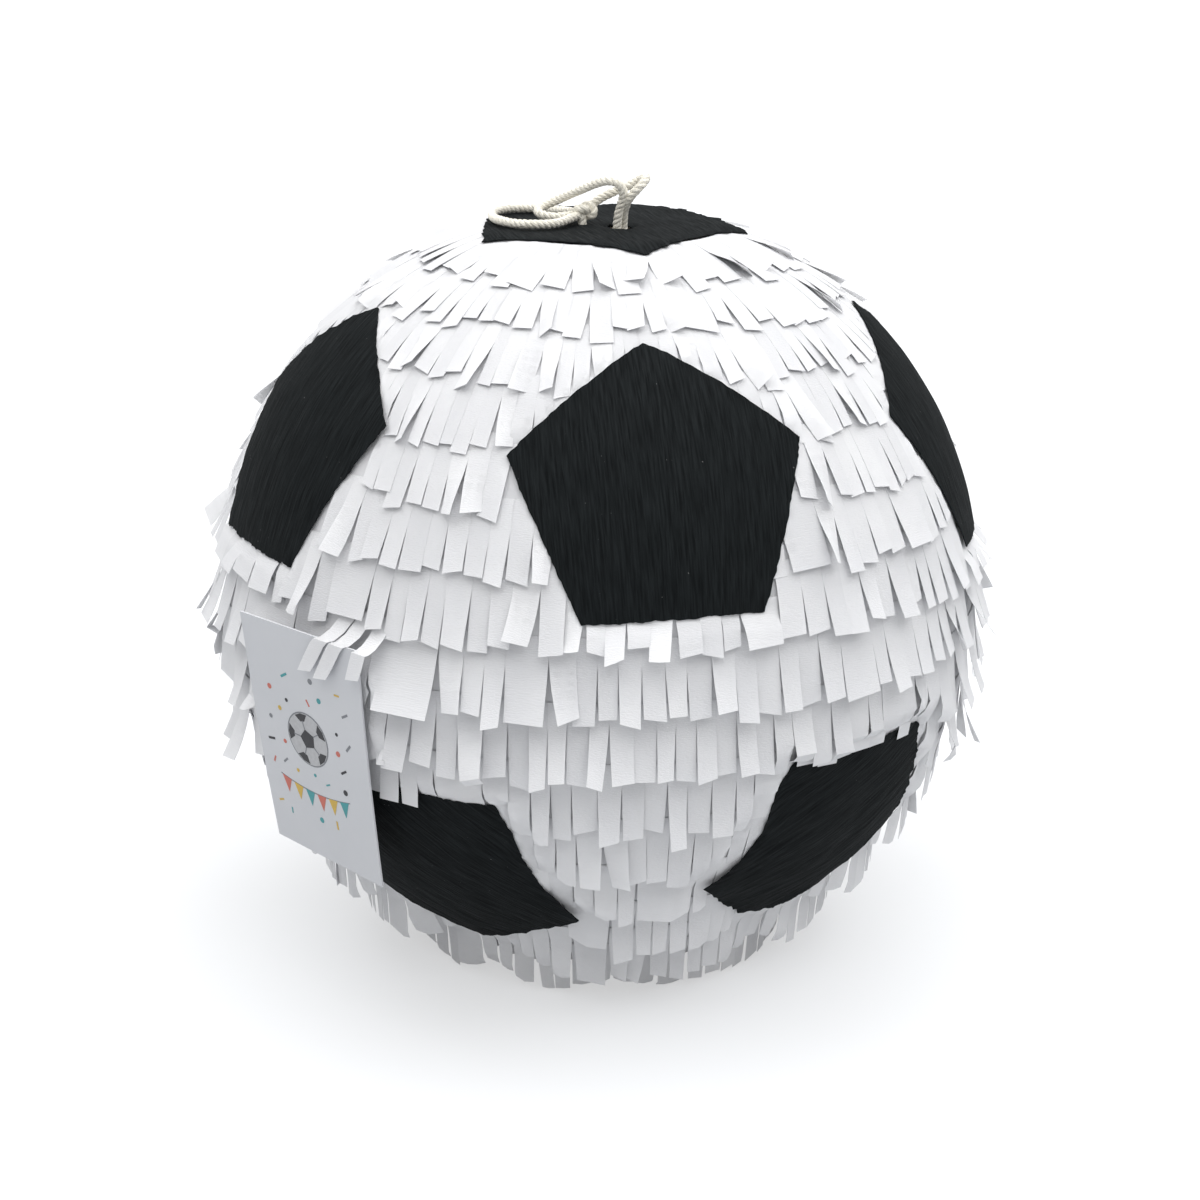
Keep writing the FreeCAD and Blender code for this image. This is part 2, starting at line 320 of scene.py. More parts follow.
# White tissue: tone from each tooth's own value, which differs at random and carries a painted sheen
# highlight on the loose teeth, faint creases across it and fine fibre.
def makeTissue():
    material, tree, shader = newMaterial("whiteTissue")
    spot = place(tree, "ShaderNodeTexCoord").outputs["Object"]
    toneAndSheen = place(tree, "ShaderNodeAttribute", {"attribute_name": "toothToneAndSheen"})
    stripMap = place(tree, "ShaderNodeUVMap", {"uv_map": "stripMap"})
    mottle = useGroup(tree, mottleGroup,
                      {"Scale": 60.0, "Light": (1, 1, 1, 1), "Dark": (0.955, 0.957, 0.965, 1),
                       "Low": 0.3, "High": 0.7},
                      {"Vector": spot})
    # Each tooth's tone: random, plus a painted sheen highlight on the loose teeth
    tone = mixColours(tree, toneAndSheen.outputs["Fac"], tissueFinish["dark"], tissueFinish["light"])
    clouded = mixColours(tree, 1.0, tone, mottle.outputs["Color"], "MULTIPLY")
    tree.links.new(clouded, shader.inputs["Base Color"])
    setShader(shader, {"Roughness": tissueFinish["roughness"], "Subsurface Weight": tissueFinish["glow"],
                       "Subsurface Radius": (1.0, 1.0, 1.0), "Subsurface Scale": tissueFinish["depth"],
                       "Specular IOR Level": tissueFinish["gloss"]})
    creases = useGroup(tree, crepeGroup, {"Across": 60.0, "Along": 260.0}, {"Map": stripMap.outputs["UV"]})
    fibre = useGroup(tree, fibreGroup, {"Scale": 700.0}, {"Vector": spot})
    first = addBump(tree, None, creases.outputs["Height"], tissueFinish["crease"], 0.0004)
    addBump(tree, shader, fibre.outputs["Height"], 0.25, 0.0001, first)
    return material


crepeFinish = {
    # painted shade in the grooves between the ridges; the ridge tops keep the paler black
    "grooveShade": (0.0035, 0.0045, 0.005, 1),
    "wearAndRidgeTops": (0.0098, 0.0122, 0.0132, 1),
    "lint": (0.12, 0.12, 0.12, 1),
    "gloss": 0.09,
    "streaks": (150.0, 8.0),   # across and along the sheet, on a map with one unit to 100 mm
    "waves": (30.0, 5.0),
}


# Black crepe: ridges along the sheet, painted shade in the grooves between them with a paler tone on their
# tops, and a few pale specks of lint.
def makeCrepe():
    material, tree, shader = newMaterial("blackCrepe")
    sheetMap = place(tree, "ShaderNodeUVMap", {"uv_map": "sheetMap"})
    spot = place(tree, "ShaderNodeTexCoord").outputs["Object"]
    grain, waves = [useGroup(tree, crepeGroup, {"Across": across, "Along": along},
                             {"Map": sheetMap.outputs["UV"]})
                    for across, along in (crepeFinish["streaks"], crepeFinish["waves"])]
    # painted shade: darker in the grooves, paler on the ridge tops, following the ridge height that also
    # drives the bump
    tone = mixColours(tree, grain.outputs["Mask"], crepeFinish["grooveShade"], crepeFinish["wearAndRidgeTops"])
    specks = place(tree, "ShaderNodeTexNoise", {"Scale": 900.0, "Detail": 1.0}, {"Vector": spot})
    lint = place(tree, "ShaderNodeMapRange", {"clamp": True, "From Min": 0.80, "From Max": 0.83},
                 {"Value": specks.outputs["Fac"]})
    dotted = mixColours(tree, lint.outputs["Result"], tone, crepeFinish["lint"])
    tree.links.new(dotted, shader.inputs["Base Color"])
    setRoughness(tree, shader, grain.outputs["Mask"], 0.88, 0.7)
    setShader(shader, {"Specular IOR Level": crepeFinish["gloss"]})
    first = addBump(tree, None, waves.outputs["Height"], 0.35, 0.0006)
    addBump(tree, shader, grain.outputs["Height"], 0.9, 0.0004, first)
    return material


# light, dark, scale of the mottling, roughness and depth of each plain paper
plainPapers = {
    "papierMache": ((0.66, 0.60, 0.50, 1), (0.5, 0.44, 0.35, 1), 45.0, 0.85, 0.6),
    "paperTape": ((0.76, 0.68, 0.54, 1), (0.68, 0.59, 0.45, 1), 30.0, 0.6, 0.2),
    "greyBoard": ((0.5, 0.48, 0.45, 1), (0.4, 0.38, 0.35, 1), 160.0, 0.85, 0.3),
    "whiteCard": ((0.9, 0.9, 0.88, 1), (0.84, 0.84, 0.83, 1), 50.0, 0.6, 0.1),
}


def makePlainPaper(name, light, dark, scale, roughness, bump):
    material, tree, shader = newMaterial(name)
    spot = place(tree, "ShaderNodeTexCoord").outputs["Object"]
    mottle = useGroup(tree, mottleGroup, {"Scale": scale, "Light": light, "Dark": dark},
                      {"Vector": spot})
    fibre = useGroup(tree, fibreGroup, {"Scale": 500.0}, {"Vector": spot})
    tree.links.new(mottle.outputs["Color"], shader.inputs["Base Color"])
    setRoughness(tree, shader, mottle.outputs["Mask"], roughness - 0.06, roughness + 0.06)
    first = addBump(tree, None, mottle.outputs["Mask"], bump, 0.0008)
    addBump(tree, shader, fibre.outputs["Height"], 0.4, 0.0002, first)
    return material


woodFinish = {"dark": (0.42, 0.27, 0.14, 1), "light": (0.72, 0.54, 0.34, 1)}


# Bare wood with its grain along the toggle
def makeWood():
    material, tree, shader = newMaterial("bareWood")
    spot = place(tree, "ShaderNodeTexCoord").outputs["Object"]
    along = place(tree, "ShaderNodeMapping", {"Scale": (260.0, 260.0, 260.0), "Rotation": (0, 0, 0.75)},
                  {"Vector": spot})
    squeeze = place(tree, "ShaderNodeMapping", {"Scale": (0.12, 1.0, 1.0)},
                    {"Vector": along.outputs["Vector"]})
    grain = place(tree, "ShaderNodeTexNoise", {"Scale": 1.0, "Detail": 5.0, "Distortion": 0.4},
                  {"Vector": squeeze.outputs["Vector"]})
    tone = mixColours(tree, grain.outputs["Fac"], woodFinish["dark"], woodFinish["light"])
    tree.links.new(tone, shader.inputs["Base Color"])
    setRoughness(tree, shader, grain.outputs["Fac"], 0.5, 0.7)
    addBump(tree, shader, grain.outputs["Fac"], 0.3, 0.0003)
    return material


cottonFinish = {
    "light": (0.93, 0.90, 0.81, 1),
    "dark": (0.84, 0.80, 0.69, 1),
    # painted shade in the lines between the yarns
    "yarn": 0.18,              # how dark the lines between the yarns are
    "roughness": 0.85,
    "sheen": 0.3,
}


# Cotton cord: warm off-white with fine slanting yarn, and painted shade in the lines between the yarns
def makeCotton():
    material, tree, shader = newMaterial("cottonCord")
    plyMap = place(tree, "ShaderNodeUVMap", {"uv_map": "plyMap"})
    spot = place(tree, "ShaderNodeTexCoord").outputs["Object"]
    mottle = useGroup(tree, mottleGroup,
                      {"Scale": 500.0, "Light": cottonFinish["light"], "Dark": cottonFinish["dark"],
                       "Low": 0.25, "High": 0.75},
                      {"Vector": spot})
    yarn = useGroup(tree, crepeGroup, {"Across": 7.0, "Along": 2.0}, {"Map": plyMap.outputs["UV"]})
    # painted shade: the lines between the yarns are darkened, following the yarn height that also drives the
    # bump
    tone = mixColours(tree, cottonFinish["yarn"], mottle.outputs["Color"], yarn.outputs["Mask"], "MULTIPLY")
    tree.links.new(tone, shader.inputs["Base Color"])
    setShader(shader, {"Roughness": cottonFinish["roughness"], "Sheen Weight": cottonFinish["sheen"],
                       "Sheen Roughness": 0.5})
    addBump(tree, shader, yarn.outputs["Height"], 0.6, 0.0003)
    return material


whiteTissue = makeTissue()
blackCrepe = makeCrepe()
cottonCord = makeCotton()
papers = {name: makePlainPaper(name, *values) for name, values in plainPapers.items()}
bareWood = makeWood()
print("materials made")


cordSetup = {
    "diameter": 3.0 * mm,
    "plyRadius": 0.88 * mm,
    "plyOffset": 0.68 * mm,
    "lay": 5.4 * mm,           # one full turn of the plies
    "step": 0.45 * mm,
    "sides": 8,
}

# The same points as the model's route: x, y and height over the crown, from the hole to the knot.
strandPoints = [(5.4, -5.6, 0.0), (5.3, -6.8, 3.6), (5.4, -9.0, 6.8), (6.2, -11.4, 9.6),
                (8.0, -12.9, 12.1), (10.5, -13.1, 14.6), (12.2, -10.7, 16.2), (12.2, -7.3, 16.2),
                (10.5, -4.9, 14.6), (7.6, -4.2, 12.9), (4.2, -3.0, 11.3), (0.6, -1.7, 9.5),
                (-2.8, -1.0, 7.5), (-6.6, -2.0, 4.7)]
bridgePoints = [(3.0, -8.2, 0.0), (3.2, -8.9, 3.9), (3.9, -10.0, 7.5), (4.6, -11.2, 10.8),
                (3.9, -12.1, 13.6), (1.6, -11.9, 15.4), (-1.4, -10.2, 15.4), (-4.8, -7.0, 13.8),
                (-8.6, -3.0, 11.4), (-12.6, 1.3, 8.8), (-16.4, 4.5, 6.5), (-20.1, 4.8, 4.9),
                (-22.2, 2.7, 4.2), (-22.2, -0.3, 3.4), (-20.1, -2.4, 2.8), (-16.6, -2.8, 2.4),
                (-12.6, -2.5, 2.7), (-8.6, -2.3, 3.4)]
loopPoints = [(-8.4, -1.4, 3.6), (-10.6, 4.4, 3.0), (-12.6, 11.0, 2.4), (-16.2, 17.0, 1.9),
              (-21.8, 21.0, 1.9), (-28.2, 21.0, 1.9), (-33.4, 17.4, 1.9), (-36.0, 12.0, 1.9),
              (-37.2, 5.0, 1.9), (-36.6, -2.2, 1.9), (-33.8, -8.6, 1.9), (-28.9, -12.9, 1.9),
              (-22.8, -14.0, 1.9), (-17.2, -11.8, 1.9), (-13.0, -7.2, 2.4), (-8.6, -3.4, 3.4)]
knotPoint = (-7.0, -2.6, 3.8)


def overCrown(points):
    return [Vector((x * mm, y * mm, crownTop + height * mm)) for x, y, height in points]


# Points along a smooth NURBS line through the route, as Blender evaluates it
def routeLine(name, points):
    curve = bpy.data.curves.new(name, "CURVE")
    curve.dimensions = "3D"
    spline = curve.splines.new("NURBS")
    spline.points.add(len(points) - 1)
    for index, point in enumerate(points):
        spline.points[index].co = (point[0], point[1], point[2], 1.0)
    spline.order_u = 3
    spline.use_endpoint_u = True
    spline.resolution_u = 12
    holder = addObject(name, curve)
    line = bpy.data.meshes.new_from_object(holder)
    found = [v.co.copy() for v in line.vertices]
    bpy.data.meshes.remove(line)
    bpy.data.objects.remove(holder)
    bpy.data.curves.remove(curve)
    return found


def evenly(line, step):
    total = sum((line[i + 1] - line[i]).length for i in range(len(line) - 1))
    count = max(2, round(total / step))
    gap = total / count
    found = [line[0].copy()]
    wanted = gap
    gone = 0.0
    for i in range(len(line) - 1):
        run = (line[i + 1] - line[i]).length
        while wanted <= gone + run + 1e-12 and len(found) < count and run > 0:
            found.append(line[i].lerp(line[i + 1], (wanted - gone) / run))
            wanted += gap
        gone += run
    found.append(line[-1].copy())
    return found, total


# A direction square to the line at each point, carried along it without twisting
def carriedSides(line):
    along = [(line[min(i + 1, len(line) - 1)] - line[max(i - 1, 0)]).normalized() for i in range(len(line))]
    side = along[0].orthogonal().normalized()
    sides = []
    for direction in along:
        side = (side - direction * side.dot(direction)).normalized()
        sides.append(side.copy())
    return along, sides


# Three plies laid round a line, each one a closed tube
def pliedCord(name, line, body, phase):
    points, total = evenly(line, cordSetup["step"])
    along, sides = carriedSides(points)
    verts = []
    faces = []
    pairs = []
    ring = cordSetup["sides"]
    for ply in range(3):
        first = len(verts)
        start = phase + ply * 2 * math.pi / 3
        travel = 0.0
        middles = []
        for i, point in enumerate(points):
            if i:
                travel += (point - points[i - 1]).length
            angle = start + 2 * math.pi * travel / cordSetup["lay"]
            other = along[i].cross(sides[i])
            offset = sides[i] * math.cos(angle) + other * math.sin(angle)
            middles.append(point + offset * cordSetup["plyOffset"])
        plyAlong, plySides = carriedSides(middles)
        travel = 0.0
        for i, middle in enumerate(middles):
            if i:
                travel += (middle - middles[i - 1]).length
            other = plyAlong[i].cross(plySides[i])
            swell = 1.0 + 0.05 * math.sin(travel / mm * 1.3 + ply)
            for k in range(ring):
                turn = 2 * math.pi * k / ring
                spoke = plySides[i] * math.cos(turn) + other * math.sin(turn)
                verts.append(middle + spoke * cordSetup["plyRadius"] * swell)
                pairs.append((k / ring + travel / (3 * mm), travel / (3 * mm)))
        for i in range(len(middles) - 1):
            for k in range(ring):
                a = first + i * ring + k
                b = first + i * ring + (k + 1) % ring
                faces.append((a, b, b + ring, a + ring))
        last = first + (len(middles) - 1) * ring
        faces.append(tuple(first + k for k in reversed(range(ring))))
        faces.append(tuple(last + k for k in range(ring)))
    piece = addMesh(name, verts, faces, cottonCord, body)
    addFlatMap(piece, "plyMap", pairs)
    return piece, points, total


# The overhand knot: the cord goes once round itself, with two short cut tails.
knotSetup = {
    "spread": 1.05,
    "depth": 1.4,
    "lean": 0.35,
    "spin": 0.3,
    "tail": 4.5 * mm,
}


def makeKnot():
    middle = overCrown([knotPoint])[0]
    turn = Matrix.Rotation(knotSetup["spin"], 3, "Z") @ Matrix.Rotation(knotSetup["lean"], 3, "X")
    points = []
    steps = 20
    for i in range(steps + 1):
        angle = math.radians(-150 + 300 * i / steps)
        x = math.sin(angle) + 2 * math.sin(2 * angle)
        y = math.cos(angle) - 2 * math.cos(2 * angle)
        z = -math.sin(3 * angle)
        local = Vector((x * knotSetup["spread"], z * knotSetup["depth"], y * knotSetup["spread"]))
        points.append(middle + turn @ local * mm)
    tail = points[-1] + (points[-1] - points[-2]).normalized() * knotSetup["tail"]
    points.append(tail)
    line = routeLine("knotLine", points)
    piece, _, _ = pliedCord("hangingKnot", line, "hanger", 0.4)
    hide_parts("cord_knot")
    return piece


hangingKnot = makeKnot()

cordRuns = [
    ("cordStrand", "cord_strand", strandPoints, 0.0),
    ("cordBridge", "cord_bridge", bridgePoints, 1.1),
    ("cordLoop", "cord_loop", loopPoints, 2.0),
]
for cordName, cordNode, cordPoints, cordPhase in cordRuns:
    controlPoints = overCrown(cordPoints)
    cordLine = routeLine(cordName + "Line", controlPoints)
    cordPiece, cordPath, cordLength = pliedCord(cordName, cordLine, "hanger", cordPhase)
    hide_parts(cordNode)
    print("%s: %.1f mm" % (cordName, cordLength / mm))

# The hidden turn of the cord under the toggle: across and height from the stick's axis, in mm
innerTurn = [(1.75, 23.9), (1.75, 8.5), (4.5, 1.9), (4.6, -1.9), (1.9, -4.7),
             (-1.9, -4.7), (-4.6, -1.9), (-4.5, 1.9), (-1.75, 8.5), (-1.75, 23.9)]
cordPairAngle = 47.0


def makeInnerCord():
    stickLow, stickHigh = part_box("hanging_stick")
    axis = (stickLow + stickHigh) / 2
    angle = math.radians(cordPairAngle)
    across = Vector((math.cos(angle), math.sin(angle), 0))
    points = [axis + across * side * mm + up * height * mm for side, height in innerTurn]
    line = routeLine("innerCordLine", points)
    piece, _, _ = pliedCord("innerCord", line, "hanger", 0.8)
    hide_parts("inner_cord")


makeInnerCord()


ringLatitude = 26.565
panelAngle = 21.5
spread = math.tan(math.radians(panelAngle))

# latitude, azimuth, turn, {corner: (lift off the ball, drawn inward)} in mm, wrinkle depth in mm,
# and for some {side: (how far it is hollowed in mm, how far that is shifted along the side)}
panelSetup = {
    "panel_front": (ringLatitude + 2.5, 0.6, -2.0, {}, 0.10),
    "panel_right": (ringLatitude + 2.1, 73.7, 2.2, {3: (1.0, 0.0)}, 0.35),
    "panel_door": (ringLatitude + 1.0, 144.5, 1.5, {2: (0.8, 0.0)}, 0.25),
    "panel_rear_left": (ringLatitude - 0.8, 215.0, -1.0, {1: (1.2, 0.0)}, 0.30),
    "panel_left": (ringLatitude + 3.3, 288.2, -0.5, {1: (1.4, -0.5), 3: (0.6, 0.0)}, 0.45),
    "panel_low_right": (-ringLatitude - 1.7, 32.1, 180.5,
                        {0: (0.4, 10.0), 1: (1.6, -2.5), 4: (0.0, 2.0)}, 0.8,
                        {1: (9.0, -0.42), 0: (1.5, 0.0), 4: (3.0, 0.0)}),
    "panel_low_rear_right": (-ringLatitude - 2.0, 109.2, 178.5, {2: (1.2, 0.0)}, 0.45),
    "panel_low_rear": (-ringLatitude - 3.5, 180.0, 182.0, {4: (0.9, 0.0)}, 0.35),
    "panel_low_rear_left": (-ringLatitude - 1.2, 253.4, 178.0, {1: (1.0, 0.0)}, 0.45),
    "panel_low_left": (-ringLatitude - 7.4, 322.5, 182.8, {4: (2.4, -2.5), 0: (0.3, 1.5)}, 0.55,
                       {3: (5.0, 0.45), 0: (0.8, 0.0), 4: (2.2, 0.0)}),
    "panel_crown": (90.0, 0.0, 173.1, {0: (0.4, 0.0), 2: (1.6, 0.5), 3: (2.2, 1.0)}, 1.3),
    "panel_base": (-90.0, 0.0, -4.0, {}, 0.10),
}

crepeSetup = {
    "columns": 76,
    "rows": 70,
    "sheet": 0.35 * mm,        # thickness of the sheet shown
    "edgeWave": 0.55 * mm,
    "hole": (4.2 * mm, -6.9 * mm, 4.5 * mm),
    # how far the grain is turned on some sheets, in degrees
    "turned": {"panel_low_right": -58.0, "panel_low_left": 50.0, "panel_low_rear": 35.0},
}


# Outward, upward and sideways unit vectors of a pentagon after its turn
def panelFrame(latitude, azimuth, spin):
    normal = outward(latitude, azimuth)
    climb = outward(latitude + 90.0, azimuth)
    climb = Quaternion(normal, math.radians(-spin)) @ climb
    return normal, climb, climb.cross(normal)


# The ball's surface at this radius along a direction, with its two flats rounded in
def ballPoint(direction, radius):
    inset = panelRadius - radius
    reach = radius
    if direction.z > 0.5:
        reach = softLower(radius, (crownRise - inset) / direction.z)
    elif direction.z < -0.5:
        reach = softLower(radius, (centre.z - inset) / -direction.z)
    return centre + direction * reach


# The smaller of two lengths, with a soft corner between them
def softLower(first, second):
    softness = 0.6 * mm
    gap = abs(first - second) / softness
    return min(first, second) - softness * math.log(1 + math.exp(-min(gap, 30)))


# A pentagon on the ball: its frame and the planes through its five edges
class Pentagon:
    def __init__(self, place):
        self.normal, self.climb, self.side = panelFrame(*place[:3])
        corners = []
        for index in range(5):
            turn = math.radians(72.0 * index)
            corners.append(self.normal + (self.climb * math.cos(turn) + self.side * math.sin(turn)) * spread)
        self.edges = []
        for index in range(5):
            edge = corners[(index + 1) % 5].cross(corners[index]).normalized()
            if edge.dot(self.normal) > 0:
                edge = -edge
            self.edges.append(edge)

    # How far a direction lies outside the edges, in metres on the ball; negative inside
    def outside(self, direction):
        return max(direction.dot(edge) for edge in self.edges) * panelRadius


pentagons = {name: Pentagon(place) for name, place in panelSetup.items()}


def cornerWeight(u, v, index):
    turn = math.radians(72.0 * index)
    gap = math.hypot(u - spread * math.sin(turn), v - spread * math.cos(turn)) / spread
    return smoothStep(0.62, 0.0, gap)


# How near a spot is to the middle of a side, from the corner of the same number to the next
def sideWeight(u, v, index, shift):
    turn = math.radians(72.0 * index + 36.0)
    reach = spread * math.cos(math.radians(36))
    along = (u * math.cos(turn) - v * math.sin(turn)) / (reach * 0.72) - shift
    out = (u * math.sin(turn) + v * math.cos(turn)) / reach
    return max(0.0, 1 - along ** 2) * smoothStep(0.35, 1.0, out)


# One crepe sheet: rows from the bottom edge to the top corner, columns from side to side
def makeCrepeSheet(name, body):
    place = panelSetup[name]
    shape = pentagons[name]
    lifts, depth = place[3], place[4] * mm
    hollows = place[5] if len(place) > 5 else {}
    grain = math.radians(crepeSetup["turned"].get(name, 0.0))
    seed = Vector((len(name) * 3.1, place[1] * 0.37, place[0] * 0.21))
    waviness = 0.7 + 1.4 * min(place[4], 1.0)
    columns, rows = crepeSetup["columns"], crepeSetup["rows"]
    shoulder = spread * math.cos(math.radians(72))
    foot = -spread * math.cos(math.radians(36))
    halfFoot = spread * math.sin(math.radians(36))
    halfShoulder = spread * math.sin(math.radians(72))
    lowRows = round(rows * (shoulder - foot) / (spread - foot))
    heights = [foot + (shoulder - foot) * j / lowRows for j in range(lowRows)]
    heights += [shoulder + (spread - shoulder) * j / (rows - lowRows) for j in range(rows - lowRows + 1)]
    heights[-1] = spread * 0.995
    grid = []
    for v in heights:
        if v <= shoulder:
            half = halfFoot + (halfShoulder - halfFoot) * (v - foot) / (shoulder - foot)
        else:
            half = halfShoulder * (spread - v) / (spread - shoulder)
        grid.append([(half * (2 * i / columns - 1), v) for i in range(columns + 1)])
    tops, lows, pairs = [], [], []
    for line in grid:
        for u, v in line:
            flat = Vector((u, v, 0)) * 22
            direction = (shape.normal + shape.side * u + shape.climb * v).normalized()
            inside = -shape.outside(direction)
            rim = smoothStep(4 * mm, 0.0, inside)
            wave = 1.2 * noise.noise(flat * 1.2 + seed) + noise.noise(flat * 3.1 + seed)
            wave = (wave + 0.5 * noise.noise(flat * 7.3 + seed)) * waviness
            grow = 1 + rim * wave * crepeSetup["edgeWave"] / (panelRadius * spread)
            for corner, (_, drawn) in lifts.items():
                grow -= cornerWeight(u, v, corner) ** 1.5 * drawn * mm / (panelRadius * spread)
            for edge, (hollow, shift) in hollows.items():
                grow -= sideWeight(u, v, edge, shift) * hollow * mm / (panelRadius * spread)
            direction = (shape.normal + shape.side * u * grow + shape.climb * v * grow).normalized()
            across = u * math.cos(grain) + v * math.sin(grain)
            along = v * math.cos(grain) - u * math.sin(grain)
            ridged = Vector((across * 60, along * 9, 0)) + seed
            height = depth * (0.6 * noise.noise(flat * 0.45 + seed * 2) + 0.5 * noise.noise(ridged))
            height += 0.25 * depth * rim * wave
            for corner, (lift, _) in lifts.items():
                height += cornerWeight(u, v, corner) ** 2 * lift * mm
            low = 0.3 * mm if hollows else 0.5 * mm if rim > 0 else 1.0 * mm
            height = max(height, -low)
            reach = panelRadius + height * (1.0 if abs(direction.z) < 0.93 else 0.4)
            tops.append(ballPoint(direction, reach))
            lows.append(ballPoint(direction, reach - crepeSetup["sheet"]))
            pairs.append((0.5 + across * panelRadius * 10, 0.5 + along * panelRadius * 10))
    width = columns + 1
    keep = {(i, j): True for j in range(rows) for i in range(columns)}
    if name == "panel_crown":
        pierceCrown(tops, lows, keep, width)
    for point in tops + lows:
        point.z = max(point.z, 0.25 * mm)
    count = len(tops)
    faces = []
    for (i, j), shown in keep.items():
        if not shown:
            continue
        a = j * width + i
        quad = (a, a + 1, a + 1 + width, a + width)
        faces.append(quad)
        faces.append(tuple(count + q for q in reversed(quad)))
        for step, (first, second) in (((0, -1), (a, a + 1)), ((1, 0), (a + 1, a + 1 + width)),
                                      ((0, 1), (a + 1 + width, a + width)), ((-1, 0), (a + width, a))):
            if not keep.get((i + step[0], j + step[1])):
                faces.append((second, first, count + first, count + second))
    used = sorted({q for face in faces for q in face})
    fresh = {old: new for new, old in enumerate(used)}
    everything = tops + lows
    piece = addMesh(name + "_crepe", [everything[q] for q in used],
                    [tuple(fresh[q] for q in face) for face in faces], blackCrepe, body)
    addFlatMap(piece, "sheetMap", [pairs[q % count] for q in used])
    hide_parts(name)


# The torn hole for the cord, its rim bent down and ragged
def pierceCrown(tops, lows, keep, width):
    x, y, radius = crepeSetup["hole"]
    for (i, j) in keep:
        a = j * width + i
        middle = (tops[a] + tops[a + 1] + tops[a + width] + tops[a + 1 + width]) / 4
        if math.hypot(middle.x - x, middle.y - y) < radius:
            keep[(i, j)] = False
    for points in (tops, lows):
        for point in points:
            gap = math.hypot(point.x - x, point.y - y)
            if gap > radius * 1.6 or gap < 1e-6:
                continue
            angle = math.atan2(point.y - y, point.x - x)
            ragged = radius * (1 + 0.10 * math.sin(3 * angle + 1) + 0.07 * math.sin(7 * angle))
            if gap < radius * 1.18:
                point.x = x + (point.x - x) / gap * ragged
                point.y = y + (point.y - y) / gap * ragged
            point.z -= smoothStep(radius * 1.6, radius, gap) * 1.2 * mm * (0.6 + 0.4 * math.sin(5 * angle))


for panelName in panelSetup:
    makeCrepeSheet(panelName, "filler_door" if panelName == "panel_door" else "ball")
print("twelve crepe pentagons made")


tagSetup = {
    "width": 53.0 * mm,
    "height": 82.5 * mm,
    "thickness": 0.6 * mm,
    "azimuth": -52.3,
    "lean": 9.0,
    "spin": 1.5,
    "topHeight": 12.0 * mm,
    "standOff": 2.0 * mm,
    "bow": 0.6 * mm,
    "twist": 1.1 * mm,
    "light": (0.58, 0.59, 0.615, 1),
    "dark": (0.553, 0.565, 0.592, 1),
}


# Frame at the middle of the card's top edge on its back: x across, y outward, z up the card
def tagFrame():
    turn = Matrix.Rotation(math.radians(tagSetup["azimuth"]), 4, "Z")
    lean = Matrix.Rotation(math.radians(tagSetup["lean"]), 4, "X")
    flat = Matrix.Rotation(math.radians(tagSetup["spin"]), 4, "Y")
    about = Matrix.Rotation(math.pi, 4, "Z")
    angle = math.radians(tagSetup["lean"])
    reach = (panelRadius + tagSetup["standOff"] + tagSetup["topHeight"] * math.sin(angle)) / math.cos(angle)
    spot = centre + outward(0, tagSetup["azimuth"]) * reach + up * tagSetup["topHeight"]
    return Matrix.Translation(spot) @ turn @ lean @ flat @ about


tagPlace = tagFrame()
tagBack = tagPlace.inverted()


# Pale cool card with a faint cloud in its tone
def makeCard():
    material, tree, shader = newMaterial("printedCard")
    spot = place(tree, "ShaderNodeTexCoord").outputs["Object"]
    mottle = useGroup(tree, mottleGroup,
                      {"Scale": 35.0, "Light": tagSetup["light"], "Dark": tagSetup["dark"]},
                      {"Vector": spot})
    tree.links.new(mottle.outputs["Color"], shader.inputs["Base Color"])
    fibre = useGroup(tree, fibreGroup, {"Scale": 600.0}, {"Vector": spot})
    setRoughness(tree, shader, mottle.outputs["Mask"], 0.42, 0.5)
    addBump(tree, shader, fibre.outputs["Height"], 0.12, 0.0001)
    return material


# Printing ink: the tone of each printed shape, broken a little by the card's fibre
def makeInk():
    material, tree, shader = newMaterial("cardInk")
    spot = place(tree, "ShaderNodeTexCoord").outputs["Object"]
    tone = place(tree, "ShaderNodeAttribute", {"attribute_name": "inkTone"})
    wearAndRidgeTops = useGroup(tree, mottleGroup, {"Scale": 900.0, "Light": (1, 1, 1, 1), "Dark": (0.86, 0.86, 0.86, 1)},
                    {"Vector": spot})
    broken = mixColours(tree, 1.0, tone.outputs["Color"], wearAndRidgeTops.outputs["Color"], "MULTIPLY")
    tree.links.new(broken, shader.inputs["Base Color"])
    setRoughness(tree, shader, wearAndRidgeTops.outputs["Mask"], 0.35, 0.5)
    return material


# A place on the card: across and down from its top middle, and how far in front of its face
def cardSpot(x, drop, front):
    down = drop / tagSetup["height"]
    bend = tagSetup["bow"] * math.sin(math.pi * min(max(down, 0.0), 1.0))
    bend += tagSetup["twist"] * (1 - 2 * down) * 2 * x / tagSetup["width"]
    return tagPlace @ Vector((x, bend + tagSetup["thickness"] + front, -drop))


def makeTag():
    columns, rows = 22, 34
    width, height, thick = tagSetup["width"], tagSetup["height"], tagSetup["thickness"]
    verts = []
    for side in (0, 1):
        for j in range(rows + 1):
            for i in range(columns + 1):
                verts.append(cardSpot(width * (i / columns - 0.5), height * j / rows, thick * (side - 1)))
    faces = sheetFaces(0, columns + 1, rows + 1)
    piece = addMesh("tagCard", verts, faces, makeCard(), "tag")
    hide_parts("tag_card")


